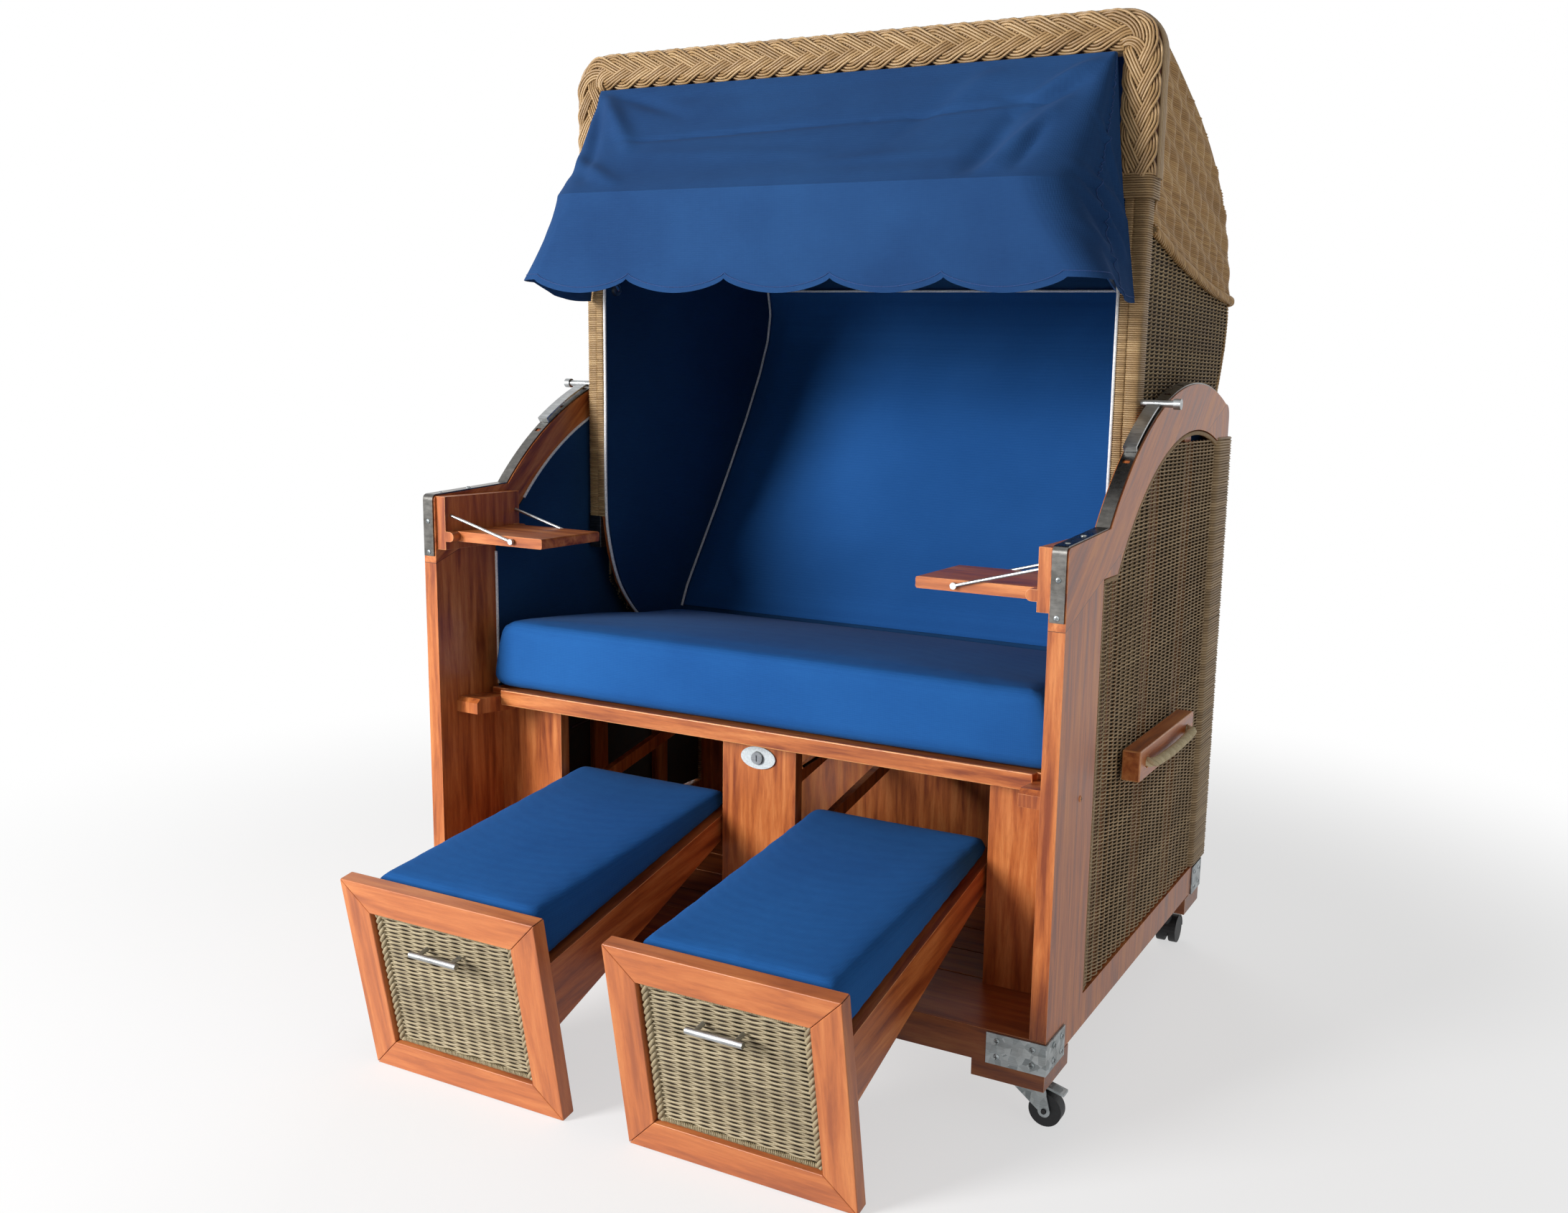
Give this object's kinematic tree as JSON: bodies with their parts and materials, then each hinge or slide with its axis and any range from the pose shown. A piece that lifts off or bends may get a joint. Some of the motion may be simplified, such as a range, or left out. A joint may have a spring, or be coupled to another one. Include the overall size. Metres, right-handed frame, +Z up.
{
  "type": "hooded beach chair",
  "caption": "Two-seat hooded beach chair with a reclining wicker hood, awning, folding trays and pull-out footrests, on casters",
  "frame": {"origin": "centre of the bounding box's underside, on the ground", "axes": "+X to the right as seen from the front, +Y to the back, +Z up"},
  "size_m": [1.3332, 1.4158, 1.738],
  "materials": {
    "wood": "varnished reddish hardwood with a soft sheen",
    "dark_wood": "darker varnished wood",
    "wicker": "tan weather-proof plastic wicker, densely woven",
    "dark_wicker": "brown weather-proof plastic wicker, openly woven",
    "cloth": "blue outdoor canvas with white piping",
    "lining": "dark blue canvas lining",
    "steel": "satin stainless steel",
    "zinc": "galvanised steel",
    "rope": "cream twisted rope",
    "black": "black caster tread",
    "black_plastic": "black plastic caster body"
  },
  "bodies": {
    "base": {"left_side_frame": "wood", "right_side_frame": "wood", "left_side_wicker": "dark_wicker", "right_side_wicker": "dark_wicker", "left_arm_lining": "lining", "right_arm_lining": "lining", "left_arm_strip": "steel", "right_arm_strip": "steel", "floor_frame": "dark_wood", "left_front_bracket": "zinc", "right_front_bracket": "zinc", "back_wicker": "dark_wicker", "seat_frame": "wood", "seat_cushion": "cloth", "front_panel": "wood", "lock_plate": "zinc", "left_carry_bar": "wood", "right_carry_bar": "wood", "left_carry_rope": "rope", "right_carry_rope": "rope", "left_tray_block": "wood", "right_tray_block": "wood"},
    "hood": {"hood_shell": "wicker", "left_hood_board": "wood", "right_hood_board": "wood", "left_wrapped_post": "wicker", "right_wrapped_post": "wicker", "braid": "wicker", "hood_lining": "lining", "back_pad": "cloth", "awning": "cloth"},
    "awning_bow": {"awning_bow": "steel"},
    "lock_cylinder": {"lock_cylinder": "steel"},
    "left_latch": {"left_latch": "steel"},
    "right_latch": {"right_latch": "steel"},
    "left_tray": {"left_tray": "wood"},
    "left_tray_stay": {"left_tray_stay": "steel"},
    "right_tray": {"right_tray": "wood"},
    "right_tray_stay": {"right_tray_stay": "steel"},
    "left_footrest_axle": {"left_footrest_axle": "steel"},
    "left_footrest": {"left_footrest_frame": "wood", "left_footrest_wicker": "wicker", "left_footrest_handle": "steel", "left_footrest_box": "dark_wood", "left_footrest_cushion": "cloth"},
    "right_footrest_axle": {"right_footrest_axle": "steel"},
    "right_footrest": {"right_footrest_frame": "wood", "right_footrest_wicker": "wicker", "right_footrest_handle": "steel", "right_footrest_box": "dark_wood", "right_footrest_cushion": "cloth"},
    "left_front_swivel": {"left_front_caster": "zinc"},
    "left_front_wheel": {"left_front_wheel": "black"},
    "left_rear_swivel": {"left_rear_caster": "black_plastic"},
    "left_rear_wheel": {"left_rear_wheel": "black"},
    "right_front_swivel": {"right_front_caster": "zinc"},
    "right_front_wheel": {"right_front_wheel": "black"},
    "right_rear_swivel": {"right_rear_caster": "black_plastic"},
    "right_rear_wheel": {"right_rear_wheel": "black"}
  },
  "joints": [
    {"name": "hood_recline", "type": "hinge", "parent": "base", "child": "hood", "pos_m": [0, 0.32233, 0.518], "axis": [-1, 0, 0], "range_deg": [0, 34]},
    {"name": "awning_bow_fold", "type": "hinge", "parent": "hood", "child": "awning_bow", "pos_m": [0, 0.09433, 1.3], "axis": [-1, 0, 0], "range_deg": [0, 45], "deforming": ["awning"]},
    {"name": "left_latch_lift", "type": "hinge", "parent": "hood", "child": "left_latch", "pos_m": [-0.5965, 0.08333, 1.11364], "axis": [-1, 0, 0], "range_deg": [0, 40]},
    {"name": "right_latch_lift", "type": "hinge", "parent": "hood", "child": "right_latch", "pos_m": [0.5965, 0.08333, 1.11364], "axis": [-1, 0, 0], "range_deg": [0, 40]},
    {"name": "left_tray_fold", "type": "hinge", "parent": "base", "child": "left_tray", "pos_m": [-0.5534, -0.24767, 0.841], "axis": [0, 1, 0], "range_deg": [0, 46]},
    {"name": "left_stay_fold", "type": "hinge", "parent": "left_tray", "child": "left_tray_stay", "pos_m": [-0.425, -0.24767, 0.841], "axis": [0, -1, 0], "range_deg": [0, 5.3]},
    {"name": "right_tray_fold", "type": "hinge", "parent": "base", "child": "right_tray", "pos_m": [0.5534, -0.24767, 0.841], "axis": [0, -1, 0], "range_deg": [0, 46]},
    {"name": "right_stay_fold", "type": "hinge", "parent": "right_tray", "child": "right_tray_stay", "pos_m": [0.425, -0.24767, 0.841], "axis": [0, 1, 0], "range_deg": [0, 5.3]},
    {"name": "left_footrest_slide", "type": "slide", "parent": "base", "child": "left_footrest_axle", "axis": [0, 0.977, 0.2131], "range_m": [0, 0.32854]},
    {"name": "left_footrest_tilt", "type": "hinge", "parent": "left_footrest_axle", "child": "left_footrest", "pos_m": [-0.257, -0.14467, 0.3455], "axis": [1, 0, 0], "range_deg": [-10.3, 0]},
    {"name": "right_footrest_slide", "type": "slide", "parent": "base", "child": "right_footrest_axle", "axis": [0, 0.977, 0.2131], "range_m": [0, 0.32854]},
    {"name": "right_footrest_tilt", "type": "hinge", "parent": "right_footrest_axle", "child": "right_footrest", "pos_m": [0.257, -0.14467, 0.3455], "axis": [1, 0, 0], "range_deg": [-10.3, 0]},
    {"name": "left_front_swivel_turn", "type": "hinge", "parent": "base", "child": "left_front_swivel", "pos_m": [-0.565, -0.28567, 0.08], "axis": [0, 0, 1], "continuous": true},
    {"name": "left_front_wheel_roll", "type": "hinge", "parent": "left_front_swivel", "child": "left_front_wheel", "pos_m": [-0.595, -0.28567, 0.027], "axis": [0, 1, 0], "continuous": true},
    {"name": "left_rear_swivel_turn", "type": "hinge", "parent": "base", "child": "left_rear_swivel", "pos_m": [-0.565, 0.50233, 0.08], "axis": [0, 0, 1], "continuous": true},
    {"name": "left_rear_wheel_roll", "type": "hinge", "parent": "left_rear_swivel", "child": "left_rear_wheel", "pos_m": [-0.565, 0.51933, 0.027], "axis": [1, 0, 0], "continuous": true},
    {"name": "right_front_swivel_turn", "type": "hinge", "parent": "base", "child": "right_front_swivel", "pos_m": [0.565, -0.28567, 0.08], "axis": [0, 0, 1], "continuous": true},
    {"name": "right_front_wheel_roll", "type": "hinge", "parent": "right_front_swivel", "child": "right_front_wheel", "pos_m": [0.595, -0.28567, 0.027], "axis": [0, 1, 0], "continuous": true},
    {"name": "right_rear_swivel_turn", "type": "hinge", "parent": "base", "child": "right_rear_swivel", "pos_m": [0.565, 0.50233, 0.08], "axis": [0, 0, 1], "continuous": true},
    {"name": "right_rear_wheel_roll", "type": "hinge", "parent": "right_rear_swivel", "child": "right_rear_wheel", "pos_m": [0.565, 0.51933, 0.027], "axis": [1, 0, 0], "continuous": true},
    {"name": "lock_turn", "type": "hinge", "parent": "base", "child": "lock_cylinder", "pos_m": [0, -0.19567, 0.481], "axis": [0, -1, 0], "range_deg": [0, 90]}
  ],
  "couplings": [
    {"joint": "left_footrest_tilt", "follows": "left_footrest_slide", "rad_per_m": -0.54186},
    {"joint": "left_stay_fold", "follows": "left_tray_fold", "ratio": 0.115},
    {"joint": "right_footrest_tilt", "follows": "right_footrest_slide", "rad_per_m": -0.54186},
    {"joint": "right_stay_fold", "follows": "right_tray_fold", "ratio": 0.115}
  ]
}
